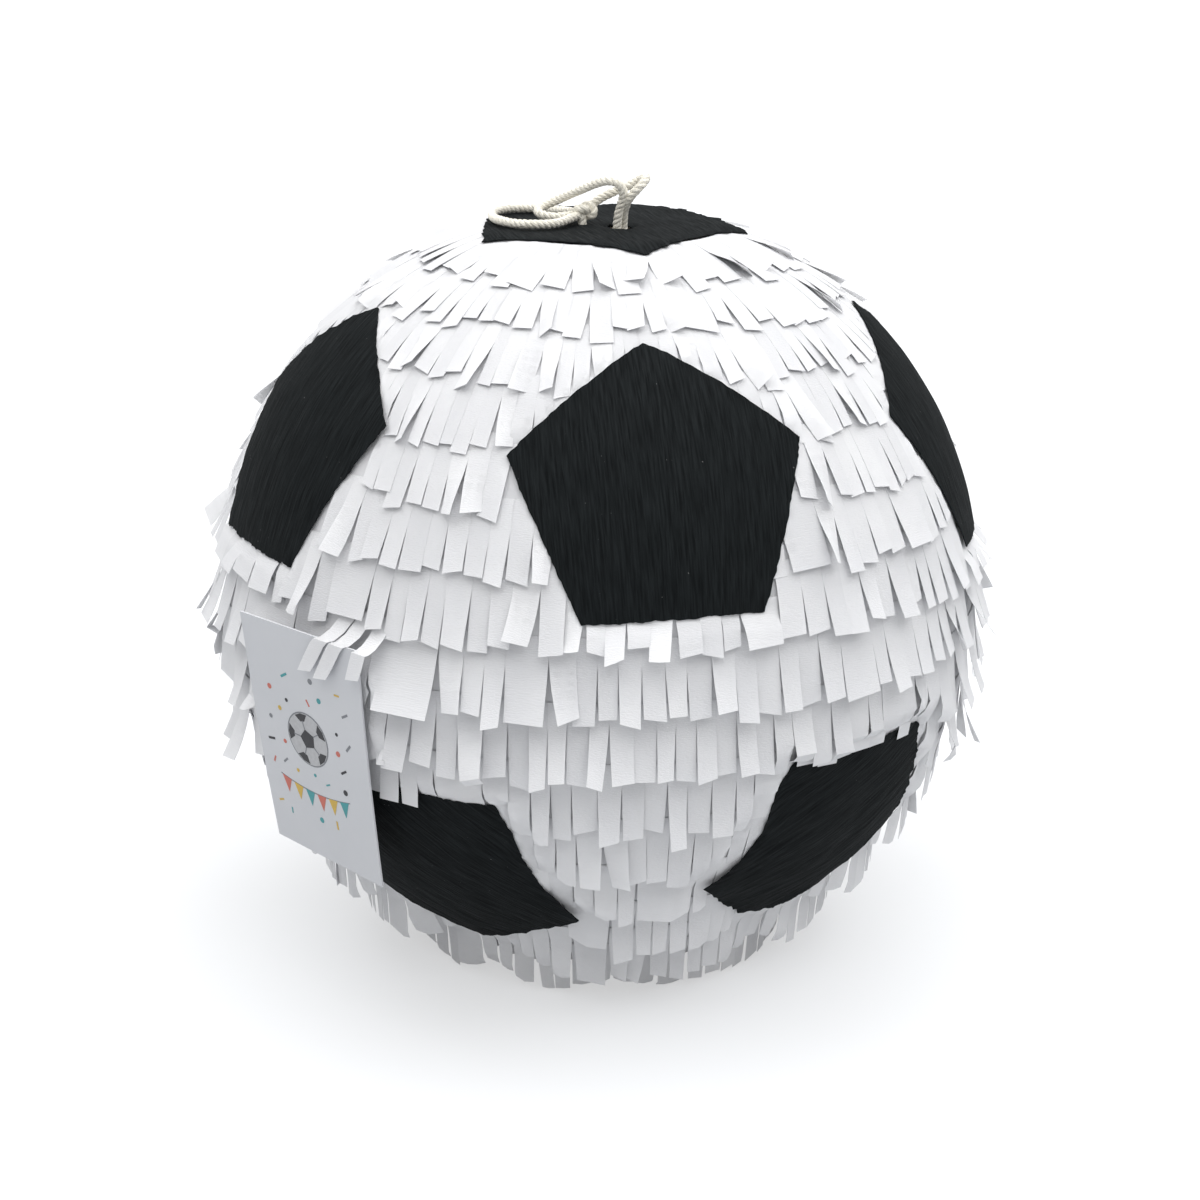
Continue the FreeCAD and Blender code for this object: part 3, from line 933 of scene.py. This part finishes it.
# The print: a small plain ball among scattered confetti, and a string of bunting under it
printSetup = {
    "ballAt": (1.5 * mm, 38.5 * mm),
    "ballRadius": 9.6 * mm,
    "confetti": 26,
    "confettiSize": 0.95 * mm,
    "confettiSpread": (20.0 * mm, 15.0 * mm, 70.0 * mm),   # half width, first and last drop
    "buntingDrop": 56.0 * mm,
    "buntingHalf": 17.0 * mm,
    "flags": 6,
    "ink": 0.04 * mm,
}
inkTones = {
    "black": (0.02, 0.02, 0.025),
    "grey": (0.20, 0.21, 0.23),
    "pale": (0.46, 0.465, 0.48),
    "teal": (0.05, 0.30, 0.32),
    "coral": (0.55, 0.14, 0.10),
    "mustard": (0.60, 0.40, 0.06),
}


class Print:
    def __init__(self):
        self.verts, self.faces, self.tones = [], [], []

    # A closed flat shape on the card from its outline, given as (across, drop)
    def addShape(self, outline, tone, layer):
        first = len(self.verts)
        count = len(outline)
        for front in (0.02 * mm, 0.02 * mm + printSetup["ink"] * layer):
            for x, drop in outline:
                self.verts.append(cardSpot(x, drop, front))
                self.tones.append(inkTones[tone])
        self.faces.append(tuple(first + k for k in range(count)))
        self.faces.append(tuple(first + count + k for k in reversed(range(count))))
        for k in range(count):
            after = (k + 1) % count
            self.faces.append((first + after, first + k, first + count + k, first + count + after))


def roundOutline(x, drop, radius, count=40):
    turns = [2 * math.pi * k / count for k in range(count)]
    return [(x + radius * math.cos(turn), drop + radius * math.sin(turn)) for turn in turns]


def strokeOutline(start, end, width):
    along = (Vector(end) - Vector(start)).normalized()
    aside = Vector((-along.y, along.x)) * width / 2
    return [tuple(Vector(start) + aside), tuple(Vector(end) + aside),
            tuple(Vector(end) - aside), tuple(Vector(start) - aside)]


# Dots and short dashes strewn over the card, clear of the ball and the bunting
def scatterConfetti(sheet, x, drop, radius):
    chance = random.Random(12)
    half, first, last = printSetup["confettiSpread"]
    placed = []
    for k in range(400):
        spot = (x + chance.uniform(-half, half), chance.uniform(first, last))
        turn = chance.uniform(0, math.pi)
        size = printSetup["confettiSize"] * chance.uniform(0.6, 1.1)
        clearOfBall = math.hypot(spot[0] - x, spot[1] - drop) > radius + 3 * mm
        clearOfBunting = not -3 * mm < spot[1] - printSetup["buntingDrop"] < 10 * mm
        if not (clearOfBall and clearOfBunting):
            continue
        if any(math.hypot(spot[0] - other[0], spot[1] - other[1]) < 5.5 * mm for other in placed):
            continue
        placed.append(spot)
        tone = ("black", "teal", "grey", "coral", "mustard")[len(placed) % 5]
        if len(placed) % 2:
            sheet.addShape(roundOutline(spot[0], spot[1], size, 18), tone, 1)
        else:
            reach = Vector((math.cos(turn), math.sin(turn))) * size * 1.7
            sheet.addShape(strokeOutline(Vector(spot) - reach, Vector(spot) + reach, size * 0.9), tone, 1)
        if len(placed) == printSetup["confetti"]:
            return


def printTag():
    sheet = Print()
    x, drop = printSetup["ballAt"]
    radius = printSetup["ballRadius"]
    sheet.addShape(roundOutline(x, drop, radius), "grey", 1)
    sheet.addShape(roundOutline(x, drop, radius * 0.95), "pale", 2)
    inner, middle = [], []
    for k in range(5):
        turn = math.radians(72 * k + 14)
        inner.append((x + radius * 0.36 * math.sin(turn), drop - radius * 0.36 * math.cos(turn)))
        middle.append((x + radius * 0.68 * math.sin(turn), drop - radius * 0.68 * math.cos(turn)))
    sheet.addShape(inner, "black", 3)
    for k in range(5):
        turn = math.radians(72 * k + 14)
        sheet.addShape(strokeOutline(inner[k], middle[k], 0.35 * mm), "grey", 3)
        patch = []
        for reach, swing in ((0.66, -9), (0.66, 9), (0.93, 19), (0.945, 0), (0.93, -19)):
            angle = turn + math.radians(swing)
            patch.append((x + radius * reach * math.sin(angle), drop - radius * reach * math.cos(angle)))
        sheet.addShape(patch, "black", 3)
    scatterConfetti(sheet, x, drop, radius)
    half = printSetup["buntingHalf"]
    flags = printSetup["flags"]

    def stringAt(share):
        return x + half * (2 * share - 1), printSetup["buntingDrop"] + 2.2 * mm * (1 - (2 * share - 1) ** 2)

    for k in range(24):
        sheet.addShape(strokeOutline(stringAt(k / 24), stringAt((k + 1) / 24), 0.4 * mm), "grey", 1)
    for k in range(flags):
        left = stringAt((k + 0.12) / flags)
        right = stringAt((k + 0.88) / flags)
        tip = ((left[0] + right[0]) / 2, (left[1] + right[1]) / 2 + 5.6 * mm)
        sheet.addShape([left, right, tip], ("teal", "mustard", "coral")[k % 3], 2)
    piece = addMesh("tagPrint", sheet.verts, sheet.faces, makeInk(), "tag", smooth=False)
    layer = piece.data.attributes.new("inkTone", "FLOAT_COLOR", "POINT")
    layer.data.foreach_set("color", [value for tone in sheet.tones for value in (*tone, 1.0)])


makeTag()
printTag()
print("tag made")


fringeSetup = {
    "rows": 16,
    "topLatitude": 72.0,
    "overlap": 4.5 * mm,
    "sheet": 0.14 * mm,
    "glue": 0.35 * mm,
    "tuck": 0.9 * mm,          # paper beside a pentagon lies this far under its face
    "toothLow": 5.6 * mm,
    "toothHigh": 8.4 * mm,
    "uncutShare": 0.10,        # teeth left joined to a neighbour or two
    "headShare": 0.28,         # the uncut band at the top of each strip
    "walk": 26,                # short steps along a tooth's line
    "segments": 8,
    "swing": 0.6 * mm,
    "lift": 0.7 * mm,
    "equatorLift": 7.2 * mm,   # how much further the rows round the middle stand off
    "mostLift": 13.0 * mm,
    "wildShare": 0.11,         # teeth that stand well off the others
    "doorGap": 0.5 * mm,
    "lining": 0.12 * mm,       # the white lining under the strips, above the shell
    "liningEnd": 77.0,         # its last latitude under the crown and over the base
    "seed": 23,
}
pitchAngle = 2 * fringeSetup["topLatitude"] / fringeSetup["rows"]
glueRadius = shellRadius + fringeSetup["glue"]


# The most a tooth may stand off at this distance outside a pentagon, so that it slips under its edge
def underEdge(gap):
    slip = max(0.0, gap - 0.4 * mm) * 0.7
    return panelRadius - fringeSetup["tuck"] + slip


# Distance outside the nearest pentagon, its name and which of its edges is nearest
def clearOfPanels(direction):
    best, found, side = 1.0, None, 0
    for name, shape in pentagons.items():
        if direction.dot(shape.normal) > 0.80:
            gaps = [direction.dot(edge) * panelRadius for edge in shape.edges]
            gap = max(gaps)
            if gap < best:
                best, found, side = gap, name, gaps.index(gap)
    return best, found, side


def behindTag(point):
    local = tagBack @ point
    half = tagSetup["width"] / 2 + 5 * mm
    if abs(local.x) < half and -tagSetup["height"] - 4 * mm < local.z < 4 * mm:
        back = -0.8 * mm - tagSetup["twist"]
        if local.y > back:
            return tagPlace @ Vector((local.x, back, local.z))
    return point


# One tooth's middle line, down the ball from its strip's top edge, with what it passes
def toothLine(latitude, azimuth, length, lift, swing, hang, over):
    point = centre + outward(latitude, azimuth) * glueRadius
    walk = fringeSetup["walk"]
    step = length / walk
    line = []
    for k in range(walk + 1):
        share = k / walk
        radial = (point - centre).normalized()
        gap, name, side = clearOfPanels(radial)
        line.append((point.copy(), share, gap, name, side))
        tangent = (Vector((0, 0, -1)) + radial * radial.z).normalized()
        fall = hang * smoothStep(0.1, 0.6, share)
        move = tangent * (1 - fall) + Vector((0, 0, -1)) * fall
        move += radial.cross(tangent) * (swing * 2 * share / length)
        point = point + move.normalized() * step
        share = (k + 1) / walk
        radial = (point - centre).normalized()
        lowest = glueRadius + (0.25 + 0.95 * share) * mm + lift * share * share
        reach = max((point - centre).length, lowest)
        gap, name, side = clearOfPanels(radial)
        onTop = over and name in topEdges and side == 2 and gap > -8 * mm
        if onTop and gap < 2 * mm:
            reach = max(min(reach, panelRadius + 3 * mm), panelRadius + 0.6 * mm)
        elif not onTop:
            reach = min(reach, max(underEdge(gap), glueRadius + 0.2 * mm))
        skin = (ballPoint(radial, shellRadius) - centre).length
        if skin < shellRadius - 0.3 * mm:
            if radial.z > 0:
                reach = min(reach, skin + 1.5 * mm)
            reach = max(reach, skin + 0.5 * mm)
        point = centre + radial * reach
        point.z = max(point.z, 0.7 * mm)
        point = behindTag(point)
    return line


# The pentagons whose flat top edge some teeth lie over
topEdges = [name for name in panelSetup if name.startswith("panel_low")]


class Strip:
    def __init__(self):
        self.verts = []
        self.faces = []
        self.tonesAndSheen = []
        self.pairs = []

    # A closed thin sheet over rows of cross points
    def addSheet(self, rowsOfPoints, toneAndSheen, across, length):
        thick = fringeSetup["sheet"]
        first = len(self.verts)
        width = len(rowsOfPoints[0][0])
        for side in (0, 1):
            for j, (points, out) in enumerate(rowsOfPoints):
                for i, point in enumerate(points):
                    self.verts.append(point + out * thick * side)
                    self.tonesAndSheen.append(toneAndSheen)
                    self.pairs.append((across + i / (width - 1) * 0.08, length * j / (len(rowsOfPoints) - 1)))
        self.faces += sheetFaces(first, width, len(rowsOfPoints))

    # The strip as one piece of tissue
    def makePiece(self, name, body):
        piece = addMesh(name, self.verts, self.faces, whiteTissue, body)
        addPointValues(piece, "toothToneAndSheen", self.tonesAndSheen)
        addFlatMap(piece, "stripMap", self.pairs)
        return piece

    # The white lining behind this row's teeth, cut back from the door
    def addLining(self, high, low):
        radius = shellRadius + fringeSetup["lining"]
        columns = 240
        rows = max(2, round((high - low) / 1.5))
        door = pentagons["panel_door"]
        points, inside = [], []
        for j in range(rows + 1):
            latitude = high + (low - high) * j / rows
            for i in range(columns):
                direction = outward(latitude, 360 * i / columns)
                gaps = [direction.dot(edge) * panelRadius for edge in door.edges]
                gap = max(gaps) if direction.dot(door.normal) > 0.5 else 1.0
                inside.append(gap < fringeSetup["doorGap"])
                if -6 * mm < gap < fringeSetup["doorGap"]:
                    edge = door.edges[gaps.index(gap)]
                    shift = (fringeSetup["doorGap"] - gap) / panelRadius
                    direction = (direction + edge * shift).normalized()
                spot = ballPoint(direction, radius)
                spot.z = max(spot.z, 0.3 * mm)
                points.append((spot, spot + (spot - centre).normalized() * 0.1 * mm))
        first = len(self.verts)
        for pair in points:
            for spot in pair:
                self.verts.append(spot)
                self.tonesAndSheen.append(0.45)
                self.pairs.append((0.0, 0.0))
        for j in range(rows):
            for i in range(columns):
                corners = [j * columns + i, j * columns + (i + 1) % columns,
                           (j + 1) * columns + (i + 1) % columns, (j + 1) * columns + i]
                if all(inside[q] for q in corners):
                    continue
                self.faces.append(tuple(first + 2 * q + 1 for q in reversed(corners)))
                self.faces.append(tuple(first + 2 * q for q in corners))


def makeFringeRow(index, chance):
    top = fringeSetup["topLatitude"] - pitchAngle * index
    length = math.radians(pitchAngle) * glueRadius + fringeSetup["overlap"]
    ring = glueRadius * math.cos(math.radians(top - 0.3 * pitchAngle))
    around = 2 * math.pi * ring
    strip = Strip()
    liningTop = fringeSetup["liningEnd"] if index == 0 else top
    liningFoot = -fringeSetup["liningEnd"] if index == fringeSetup["rows"] - 1 else top - pitchAngle
    strip.addLining(liningTop, liningFoot)
    azimuth = chance.uniform(0, 360)
    gone = 0.0
    hang = 0.0 if top > 14 else min(0.9, 0.25 + (10 - top) / 60)
    middleShare = math.exp(-((top + 2) / 26) ** 2)
    highShare = smoothStep(15, 45, top)
    bunch = chance.uniform(-1, 1)
    while gone < around - 2.5 * mm:
        width = chance.uniform(fringeSetup["toothLow"], fringeSetup["toothHigh"]) * (1 - 0.26 * highShare)
        if chance.random() < fringeSetup["uncutShare"] * (1 - 0.6 * highShare):
            width *= chance.choice((2, 2, 2, 3))
        width = min(width, around - gone)
        if around - gone - width < 4 * mm:
            width = around - gone
        bunch = 0.7 * bunch + 0.3 * chance.uniform(-1, 1)
        wild = chance.random() < fringeSetup["wildShare"] * (1 + 0.9 * middleShare + 0.6 * highShare)
        fullLift = fringeSetup["lift"] + fringeSetup["equatorLift"] * middleShare
        lift = (0.3 + 0.7 * chance.random()) * fullLift
        lift *= (1 + 0.5 * bunch) * (1 - 0.5 * highShare)
        swing = fringeSetup["swing"] * (chance.uniform(-1, 1) + bunch) * (1 + 1.6 * highShare)
        twist = chance.uniform(-0.12, 0.12)
        if wild and width < 10 * mm:
            lift += chance.uniform(1.0, 4.2) * mm * (1 + 0.9 * middleShare - 0.6 * highShare)
            swing += chance.uniform(-3.4, 3.4) * mm
            twist += chance.choice((-1, 1)) * chance.uniform(0.25, 0.75)
        lift = min(lift, fringeSetup["mostLift"])
        long = length * chance.uniform(0.91, 1.09 + 0.08 * highShare) + 1.0 * mm * bunch
        cut = chance.uniform(-0.9, 0.9) * mm
        # Each tooth's tone differs at random; the loose teeth that stand off get a painted sheen highlight,
        # 0.3 brighter
        toneAndSheen = min(1.0, max(0.0, 0.55 + 0.25 * chance.uniform(-1, 1) + (0.3 if wild else 0)))
        narrow = chance.uniform(-0.1, 0.3 + 0.8 * (1 - highShare)) * mm
        over = chance.random() < 0.6
        reachIn = chance.uniform(1.5, 4.5) * mm
        middle = azimuth + math.degrees((gone + width / 2) / ring)
        line = toothLine(top, middle, long, lift, swing, hang, over)
        addTooth(strip, line, width, narrow, twist, cut, toneAndSheen, over, reachIn)
        gone += width
    piece = strip.makePiece("fringe_%02d" % (index + 1), "ball")
    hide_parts("fringe_row_%02d" % (index + 1))


# How far teeth run in under a pentagon's sides where they are hollowed, in mm
tuckedDeep = {"panel_low_right": 9.5, "panel_low_left": 6.0}


# The stretch of a tooth's line that shows: cut at the door, and tucked under or laid over a pentagon
def shownStretch(line, over, reachIn):
    found = []
    for entry in line:
        gap, name, side = entry[2], entry[3], entry[4]
        if name == "panel_door":
            hidden = gap < fringeSetup["doorGap"]
        elif over and name in topEdges and side == 2:
            hidden = gap < -reachIn
        else:
            hidden = gap < -(tuckedDeep.get(name, 3.0) * mm)
        if hidden:
            if found:
                break
            continue
        found.append(entry)
    return found


# Paper beside a pentagon lies below its edge
def tuckedUnder(point):
    reach = (point - centre).length
    if reach < panelRadius - fringeSetup["tuck"]:
        return point
    radial = (point - centre) / reach
    return centre + radial * min(reach, underEdge(clearOfPanels(radial)[0]))


def addTooth(strip, line, width, narrow, twist, cut, toneAndSheen, over, reachIn):
    shown = shownStretch(line, over, reachIn)
    if len(shown) < 4:
        return
    laidOver = over and any(entry[3] in topEdges and entry[4] == 2 and entry[2] < 2 * mm for entry in shown)
    count = max(3, round(fringeSetup["segments"] * len(shown) / len(line)))
    startRadial = (line[0][0] - centre).normalized()
    startFlat = math.sqrt(max(1 - startRadial.z ** 2, 1e-4))
    pieces = max(2, round(width / (3.6 * mm)))
    rowsOfPoints = []
    for j in range(count + 1):
        k = round((len(shown) - 1) * j / count)
        point, share = shown[k][0], shown[k][1]
        radial = (point - centre).normalized()
        along = (shown[min(k + 1, len(shown) - 1)][0] - shown[max(k - 1, 0)][0]).normalized()
        side = along.cross(radial).normalized()
        loose = smoothStep(fringeSetup["headShare"], 1.0, share)
        side = Quaternion(along, twist * loose) @ side
        out = side.cross(along).normalized()
        if out.dot(radial) < 0:
            out = -out
        growth = math.sqrt(max(1 - radial.z ** 2, 1e-4)) / startFlat
        half = width / 2 * (1 + (growth - 1) * (1 - 0.45 * loose if growth > 1 else 1 - loose * 0.3))
        half += 0.12 * mm * (1 - smoothStep(0.2, 0.4, share)) - narrow / 2 * loose
        points = []
        for i in range(pieces + 1):
            across = 2 * i / pieces - 1
            spot = point + side * half * across + along * (cut * across * smoothStep(0.8, 1.0, share))
            lowest = glueRadius + 0.1 * mm
            away = (spot - centre).length
            if away < lowest and abs(radial.z) < 0.9:
                spot = centre + (spot - centre) * (lowest / away)
            if not laidOver:
                spot = tuckedUnder(spot)
            spot = behindTag(spot)
            spot.z = max(spot.z, 0.5 * mm)
            points.append(spot)
        rowsOfPoints.append((points, out))
    strip.addSheet(rowsOfPoints, toneAndSheen, toneAndSheen * 7, len(shown) / len(line) * 0.25)


# A few teeth of the row above lie over the card's top edge.
tagTeethSetup = {
    # across, width, drop and lean of each tooth, in mm
    "teeth": [(-17.5, 6.0, 12.0, 0.62), (-24.0, 6.0, 12.5, 0.56), (-31.5, 5.8, 9.0, 0.30)],
    "above": 11.0 * mm,
    "proud": 0.45 * mm,
    "head": 1.2 * mm,          # how far the glued ends lie above the ball
}


def makeTagTeeth():
    strip = Strip()
    chance = random.Random(7)
    for across, width, drop, lean in tagTeethSetup["teeth"]:
        rowsOfPoints = []
        curl = chance.uniform(0.8, 2.6) * mm
        for j in range(10):
            share = j / 9
            fall = -tagTeethSetup["above"] + (tagTeethSetup["above"] + drop * mm) * share
            proud = tagTeethSetup["proud"] + curl * share * share
            points = []
            for i in range(3):
                x = across * mm + width * mm * (i / 2 - 0.5) + lean * (fall + tagTeethSetup["above"])
                slant = 0.5 * mm * (i - 1) * smoothStep(0.8, 1.0, share)
                if fall > 0:
                    points.append(cardSpot(x, fall + slant, proud))
                else:
                    edge = cardSpot(x, 0.0, proud)
                    glued = (edge + up * -fall - centre).normalized() * (glueRadius + tagTeethSetup["head"])
                    points.append(edge.lerp(centre + glued, smoothStep(0, 1, -fall / tagTeethSetup["above"])))
            out = (points[1] - centre).normalized()
            rowsOfPoints.append((points, out))
        strip.addSheet(rowsOfPoints, 0.75, chance.random(), 0.2)
    piece = strip.makePiece("tagTeeth", None)
    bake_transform(piece)


makeTagTeeth()
fringeChance = random.Random(fringeSetup["seed"])
for rowIndex in range(fringeSetup["rows"]):
    makeFringeRow(rowIndex, fringeChance)
print("sixteen rows of fringe made")


nodeFinishes = {
    "shell_upper": papers["papierMache"],
    "shell_lower": papers["papierMache"],
    "seam_tape": papers["paperTape"],
    "crown_patch": papers["greyBoard"],
    "hanging_stick": bareWood,
    "door_leaf": papers["papierMache"],
    "door_tab": papers["whiteCard"],
}
for nodeName, finish in nodeFinishes.items():
    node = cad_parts[nodeName]
    node.data.materials.clear()
    node.data.materials.append(finish)


stageSetup = {
    "floor": (0.412, 0.422, 0.436, 1),
    "floorDark": (0.407, 0.417, 0.431, 1),
    "floorReach": 30.0,
    "floorGlow": 0.51,         # the sweep is lit from below as well
    "floorBounce": 0.20,       # how much of that reaches the ball
    "skyTop": 1.25,
    "skyLow": 0.26,
    "lamp": 2.5,
    "lampAngle": 90.0,
    "lampFrom": (0.10, -0.10, 1.0),
}


def makeStage():
    material, tree, shader = newMaterial("floorPaper")
    spot = place(tree, "ShaderNodeTexCoord").outputs["Object"]
    mottle = useGroup(tree, mottleGroup,
                      {"Scale": 3.0, "Light": stageSetup["floor"], "Dark": stageSetup["floorDark"]},
                      {"Vector": spot})
    tree.links.new(mottle.outputs["Color"], shader.inputs["Base Color"])
    setShader(shader, {"Roughness": 0.9, "Specular IOR Level": 0.1, "Emission Color": (1, 1, 1, 1)})
    seen = place(tree, "ShaderNodeLightPath")
    glow = place(tree, "ShaderNodeMapRange",
                 {"To Min": stageSetup["floorBounce"], "To Max": stageSetup["floorGlow"]},
                 {"Value": seen.outputs["Is Camera Ray"]})
    tree.links.new(glow.outputs["Result"], shader.inputs["Emission Strength"])
    count = 96
    reach = stageSetup["floorReach"]
    turns = [2 * math.pi * k / count for k in range(count)]
    verts = [(0, 0, 0)] + [(reach * math.cos(turn), reach * math.sin(turn), 0) for turn in turns]
    faces = [(0, k + 1, (k + 1) % count + 1) for k in range(count)]
    data = bpy.data.meshes.new("floor")
    data.from_pydata(verts, [], faces)
    floor = addObject("floor", data)
    data.materials.append(material)


def makeLights():
    world = bpy.data.worlds.new("softStudio")
    bpy.context.scene.world = world
    world.use_nodes = True
    tree = world.node_tree
    background = tree.nodes["Background"]
    direction = place(tree, "ShaderNodeTexCoord").outputs["Generated"]
    parts = place(tree, "ShaderNodeSeparateXYZ", None, {"Vector": direction})
    height = place(tree, "ShaderNodeMapRange",
                   {"clamp": True, "To Min": stageSetup["skyLow"], "To Max": stageSetup["skyTop"]},
                   {"Value": parts.outputs["Z"]})
    seen = place(tree, "ShaderNodeLightPath")
    pick = place(tree, "ShaderNodeMix", {"data_type": "FLOAT"})
    tree.links.new(seen.outputs["Is Camera Ray"], pick.inputs[0])
    tree.links.new(height.outputs["Result"], pick.inputs[2])
    pick.inputs[3].default_value = 1.0
    tree.links.new(pick.outputs[0], background.inputs["Strength"])
    background.inputs["Color"].default_value = (1, 1, 1, 1)
    lamp = bpy.data.lights.new("overhead", "SUN")
    lamp.energy = stageSetup["lamp"]
    lamp.angle = math.radians(stageSetup["lampAngle"])
    holder = addObject("overhead", lamp)
    holder.rotation_mode = "QUATERNION"
    holder.rotation_quaternion = Vector(stageSetup["lampFrom"]).to_track_quat("Z", "Y")


makeStage()
makeLights()
bpy.context.scene.view_settings.view_transform = "Standard"
print("stage and lights made")

bpy.context.view_layer.update()
